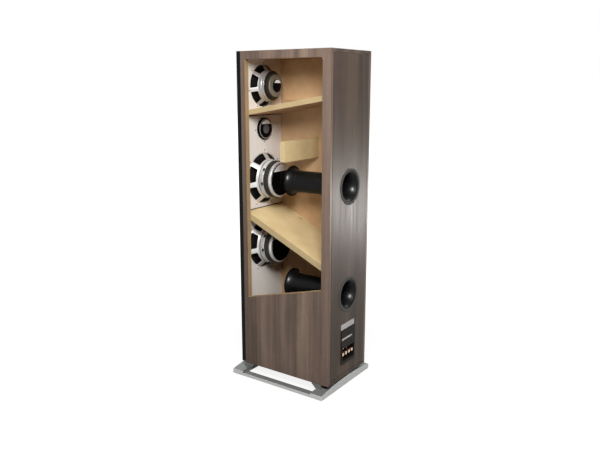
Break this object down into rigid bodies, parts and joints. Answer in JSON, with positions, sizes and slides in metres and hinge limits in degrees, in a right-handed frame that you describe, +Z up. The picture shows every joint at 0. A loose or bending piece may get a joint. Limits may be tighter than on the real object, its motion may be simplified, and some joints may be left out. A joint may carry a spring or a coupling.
{
  "type": "floorstanding loudspeaker",
  "caption": "Tall floorstanding loudspeaker on a silver base, with woofers, a midrange, a tweeter and rear ports, its right side cut open to show the inside.",
  "frame": {"origin": "on the floor, at the middle of the overall box", "axes": "+Z up, -Y to the front, which the drivers face, +X to the side with the window"},
  "size_m": [0.288, 0.3522, 1.0215],
  "materials": {
    "walnut_veneer": "satin",
    "black_lacquer": "satin",
    "fibreboard": "raw",
    "silver_metal": "satin",
    "zinc_steel": "plated",
    "ferrite": "matte",
    "gloss_black": "gloss",
    "satin_black": "satin",
    "cone_pulp": "matte",
    "surround_rubber": "matte",
    "spider_cloth": "matte",
    "copper": "enamelled",
    "dome_silk": "matte",
    "gold_plate": "polished",
    "circuit_board": "satin",
    "capacitor_film": "satin"
  },
  "bodies": {
    "cabinet": {"left_side_panel": "walnut_veneer", "right_side_panel": "walnut_veneer", "top_panel": "walnut_veneer", "bottom_panel": "walnut_veneer", "back_panel": "walnut_veneer", "front_baffle": "black_lacquer", "midrange_shelf": "fibreboard", "bass_divider": "fibreboard", "cross_brace": "fibreboard", "base_frame": "silver_metal", "midrange_basket": "silver_metal", "midrange_top_plate": "zinc_steel", "midrange_magnet": "ferrite", "midrange_yoke": "zinc_steel", "midrange_surround": "surround_rubber", "midrange_spider": "spider_cloth", "upper_woofer_basket": "silver_metal", "upper_woofer_top_plate": "zinc_steel", "upper_woofer_magnet": "ferrite", "upper_woofer_yoke": "zinc_steel", "upper_woofer_magnet_cap": "gloss_black", "upper_woofer_surround": "surround_rubber", "upper_woofer_spider": "spider_cloth", "lower_woofer_basket": "silver_metal", "lower_woofer_top_plate": "zinc_steel", "lower_woofer_magnet": "ferrite", "lower_woofer_yoke": "zinc_steel", "lower_woofer_magnet_cap": "gloss_black", "lower_woofer_surround": "surround_rubber", "lower_woofer_spider": "spider_cloth", "tweeter_faceplate": "satin_black", "tweeter_motor": "zinc_steel", "tweeter_rear_cup": "gloss_black", "upper_port": "satin_black", "lower_port": "satin_black", "terminal_cup": "satin_black", "post_1_stud": "gold_plate", "post_2_stud": "gold_plate", "post_3_stud": "gold_plate", "post_4_stud": "gold_plate", "crossover_board": "circuit_board", "bass_inductor": "copper", "midrange_inductor": "copper", "bass_capacitor": "capacitor_film", "tweeter_capacitor": "capacitor_film"},
    "midrange_diaphragm": {"midrange_cone": "cone_pulp", "midrange_voice_coil": "copper"},
    "upper_woofer_diaphragm": {"upper_woofer_cone": "cone_pulp", "upper_woofer_voice_coil": "copper"},
    "lower_woofer_diaphragm": {"lower_woofer_cone": "cone_pulp", "lower_woofer_voice_coil": "copper"},
    "tweeter_diaphragm": {"tweeter_dome": "dome_silk"},
    "post_1_clamp": {"post_1_washer": "gold_plate"},
    "post_1_nut": {"post_1_cap": "gold_plate"},
    "post_2_clamp": {"post_2_washer": "gold_plate"},
    "post_2_nut": {"post_2_cap": "gold_plate"},
    "post_3_clamp": {"post_3_washer": "gold_plate"},
    "post_3_nut": {"post_3_cap": "gold_plate"},
    "post_4_clamp": {"post_4_washer": "gold_plate"},
    "post_4_nut": {"post_4_cap": "gold_plate"}
  },
  "joints": [
    {"name": "midrange_travel", "type": "slide", "parent": "cabinet", "child": "midrange_diaphragm", "axis": [0, -1, 0], "range_m": [-0.0025, 0.0025], "stiffness_N_per_m": 1500, "deforming": ["midrange_surround", "midrange_spider"]},
    {"name": "upper_woofer_travel", "type": "slide", "parent": "cabinet", "child": "upper_woofer_diaphragm", "axis": [0, -1, 0], "range_m": [-0.005, 0.005], "stiffness_N_per_m": 1000, "deforming": ["upper_woofer_surround", "upper_woofer_spider"]},
    {"name": "lower_woofer_travel", "type": "slide", "parent": "cabinet", "child": "lower_woofer_diaphragm", "axis": [0, -1, 0], "range_m": [-0.005, 0.005], "stiffness_N_per_m": 1000, "deforming": ["lower_woofer_surround", "lower_woofer_spider"]},
    {"name": "tweeter_travel", "type": "slide", "parent": "cabinet", "child": "tweeter_diaphragm", "axis": [0, -1, 0], "range_m": [-0.0003, 0.0003], "stiffness_N_per_m": 1000},
    {"name": "post_1_travel", "type": "slide", "parent": "cabinet", "child": "post_1_clamp", "axis": [0, 1, 0], "range_m": [0, 0.005]},
    {"name": "post_1_turn", "type": "hinge", "parent": "post_1_clamp", "child": "post_1_nut", "pos_m": [-0.02625, 0.15235, 0.1075], "axis": [0, 1, 0], "range_deg": [0, 1800]},
    {"name": "post_2_travel", "type": "slide", "parent": "cabinet", "child": "post_2_clamp", "axis": [0, 1, 0], "range_m": [0, 0.005]},
    {"name": "post_2_turn", "type": "hinge", "parent": "post_2_clamp", "child": "post_2_nut", "pos_m": [-0.00875, 0.15235, 0.1075], "axis": [0, 1, 0], "range_deg": [0, 1800]},
    {"name": "post_3_travel", "type": "slide", "parent": "cabinet", "child": "post_3_clamp", "axis": [0, 1, 0], "range_m": [0, 0.005]},
    {"name": "post_3_turn", "type": "hinge", "parent": "post_3_clamp", "child": "post_3_nut", "pos_m": [0.00875, 0.15235, 0.1075], "axis": [0, 1, 0], "range_deg": [0, 1800]},
    {"name": "post_4_travel", "type": "slide", "parent": "cabinet", "child": "post_4_clamp", "axis": [0, 1, 0], "range_m": [0, 0.005]},
    {"name": "post_4_turn", "type": "hinge", "parent": "post_4_clamp", "child": "post_4_nut", "pos_m": [0.02625, 0.15235, 0.1075], "axis": [0, 1, 0], "range_deg": [0, 1800]}
  ],
  "couplings": [
    {"joint": "post_1_travel", "follows": "post_1_turn", "m_per_rad": 0.000159},
    {"joint": "post_2_travel", "follows": "post_2_turn", "m_per_rad": 0.000159},
    {"joint": "post_3_travel", "follows": "post_3_turn", "m_per_rad": 0.000159},
    {"joint": "post_4_travel", "follows": "post_4_turn", "m_per_rad": 0.000159}
  ]
}
